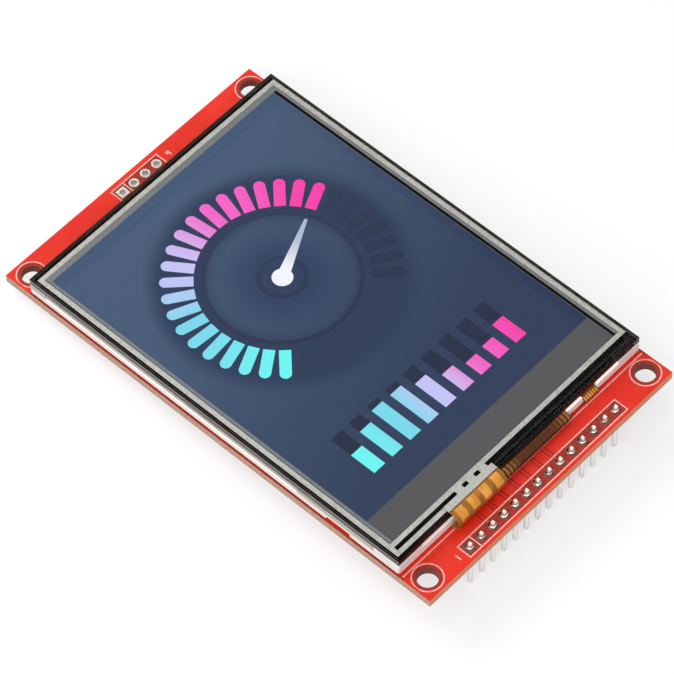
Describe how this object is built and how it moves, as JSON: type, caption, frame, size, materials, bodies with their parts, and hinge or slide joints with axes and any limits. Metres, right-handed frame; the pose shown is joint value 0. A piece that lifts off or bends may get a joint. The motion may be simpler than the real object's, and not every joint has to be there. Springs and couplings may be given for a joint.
{
  "type": "tft display module",
  "caption": "Colour liquid-crystal display with a resistive touch panel on a red carrier board, with a pin header and a card socket underneath.",
  "frame": {"origin": "midway between the four mounting holes, on the board's underside", "axes": "+X across the picture towards the card socket's mouth, +Y from the pin header to the card header, +Z out of the screen"},
  "size_m": [0.055, 0.0892, 0.0139],
  "materials": {
    "circuit_board": "glass-epoxy laminate, cut edges tan",
    "copper_top": "etched copper under solder mask",
    "copper_bottom": "etched copper under solder mask",
    "solder_mask_top": "glossy bright red solder mask",
    "solder_mask_bottom": "glossy bright red solder mask",
    "silkscreen_top": "pinkish white printed ink",
    "silkscreen_bottom": "pinkish white printed ink",
    "header_pads": "tinned pads and barrels",
    "card_header_pads": "tinned pads and barrels",
    "display_pads": "gold-plated pads",
    "bottom_pads": "tinned pads",
    "header_housing": "black moulded nylon",
    "header_pins": "tin-plated square pins",
    "header_solder": "bright solder",
    "card_socket_base": "black moulded thermoplastic",
    "card_socket_shell": "stamped and folded stainless steel",
    "card_socket_contacts": "gold-plated spring contacts",
    "touch_controller": "black moulding compound",
    "touch_controller_leads": "tinned leads",
    "regulator_and_transistor": "black moulding compound",
    "regulator_and_transistor_leads": "tinned leads",
    "resistor_bodies": "alumina with black glaze",
    "capacitor_bodies": "tan ceramic",
    "resistor_and_capacitor_ends": "tinned end caps",
    "mounting_tape": "double-sided foam tape",
    "backlight_frame": "white moulded polycarbonate",
    "back_reflector": "silvery reflector film",
    "light_guide": "clear acrylic with a dotted underside",
    "backlight_leds": "side-firing white lamps",
    "backlight_flex": "amber polyimide",
    "backlight_flex_traces": "gold-plated traces",
    "diffuser_sheet": "milky film",
    "prism_sheet_lower": "prism film",
    "prism_sheet_upper": "prism film",
    "rim_tape": "black double-sided film tape",
    "rear_polariser": "polarising film",
    "array_glass": "thin glass, dark behind the picture",
    "driver_chip": "bare silicon",
    "ledge_tape": "black tape",
    "display_flex": "brown polyimide",
    "display_flex_traces": "copper traces under polyimide",
    "flex_solder": "solder",
    "cell_border": "grey black-matrix border",
    "picture_field": "navy field of the picture",
    "picture_unlit": "dark blue shapes",
    "picture_cyan": "cyan shapes",
    "picture_lilac": "lilac shapes",
    "picture_magenta": "magenta shapes",
    "picture_needle": "pale silver needle",
    "filter_glass": "thin clear glass",
    "front_polariser": "grey film",
    "touch_gasket": "black adhesive foam",
    "touch_glass": "clear glass",
    "touch_silver_lower": "printed silver ink",
    "touch_silver_upper": "printed silver ink seen through adhesive",
    "touch_spacer": "clear adhesive",
    "touch_film": "clear film with a hard coat",
    "touch_flex": "amber polyimide",
    "touch_flex_traces": "gold-plated traces"
  },
  "bodies": {
    "root": {"circuit_board": "circuit_board", "copper_top": "copper_top", "copper_bottom": "copper_bottom", "solder_mask_top": "solder_mask_top", "solder_mask_bottom": "solder_mask_bottom", "silkscreen_top": "silkscreen_top", "silkscreen_bottom": "silkscreen_bottom", "header_pads": "header_pads", "card_header_pads": "card_header_pads", "display_pads": "display_pads", "bottom_pads": "bottom_pads", "header_housing": "header_housing", "header_pins": "header_pins", "header_solder": "header_solder", "card_socket_base": "card_socket_base", "card_socket_shell": "card_socket_shell", "card_socket_contacts": "card_socket_contacts", "touch_controller": "touch_controller", "touch_controller_leads": "touch_controller_leads", "regulator_and_transistor": "regulator_and_transistor", "regulator_and_transistor_leads": "regulator_and_transistor_leads", "resistor_bodies": "resistor_bodies", "capacitor_bodies": "capacitor_bodies", "resistor_and_capacitor_ends": "resistor_and_capacitor_ends", "mounting_tape": "mounting_tape", "backlight_frame": "backlight_frame", "back_reflector": "back_reflector", "light_guide": "light_guide", "backlight_leds": "backlight_leds", "backlight_flex": "backlight_flex", "backlight_flex_traces": "backlight_flex_traces", "diffuser_sheet": "diffuser_sheet", "prism_sheet_lower": "prism_sheet_lower", "prism_sheet_upper": "prism_sheet_upper", "rim_tape": "rim_tape", "rear_polariser": "rear_polariser", "array_glass": "array_glass", "driver_chip": "driver_chip", "ledge_tape": "ledge_tape", "display_flex": "display_flex", "display_flex_traces": "display_flex_traces", "flex_solder": "flex_solder", "cell_border": "cell_border", "picture_field": "picture_field", "picture_unlit": "picture_unlit", "picture_cyan": "picture_cyan", "picture_lilac": "picture_lilac", "picture_magenta": "picture_magenta", "picture_needle": "picture_needle", "filter_glass": "filter_glass", "front_polariser": "front_polariser", "touch_gasket": "touch_gasket", "touch_glass": "touch_glass", "touch_silver_lower": "touch_silver_lower", "touch_silver_upper": "touch_silver_upper", "touch_spacer": "touch_spacer", "touch_film": "touch_film", "touch_flex": "touch_flex", "touch_flex_traces": "touch_flex_traces"}
  },
  "joints": []
}
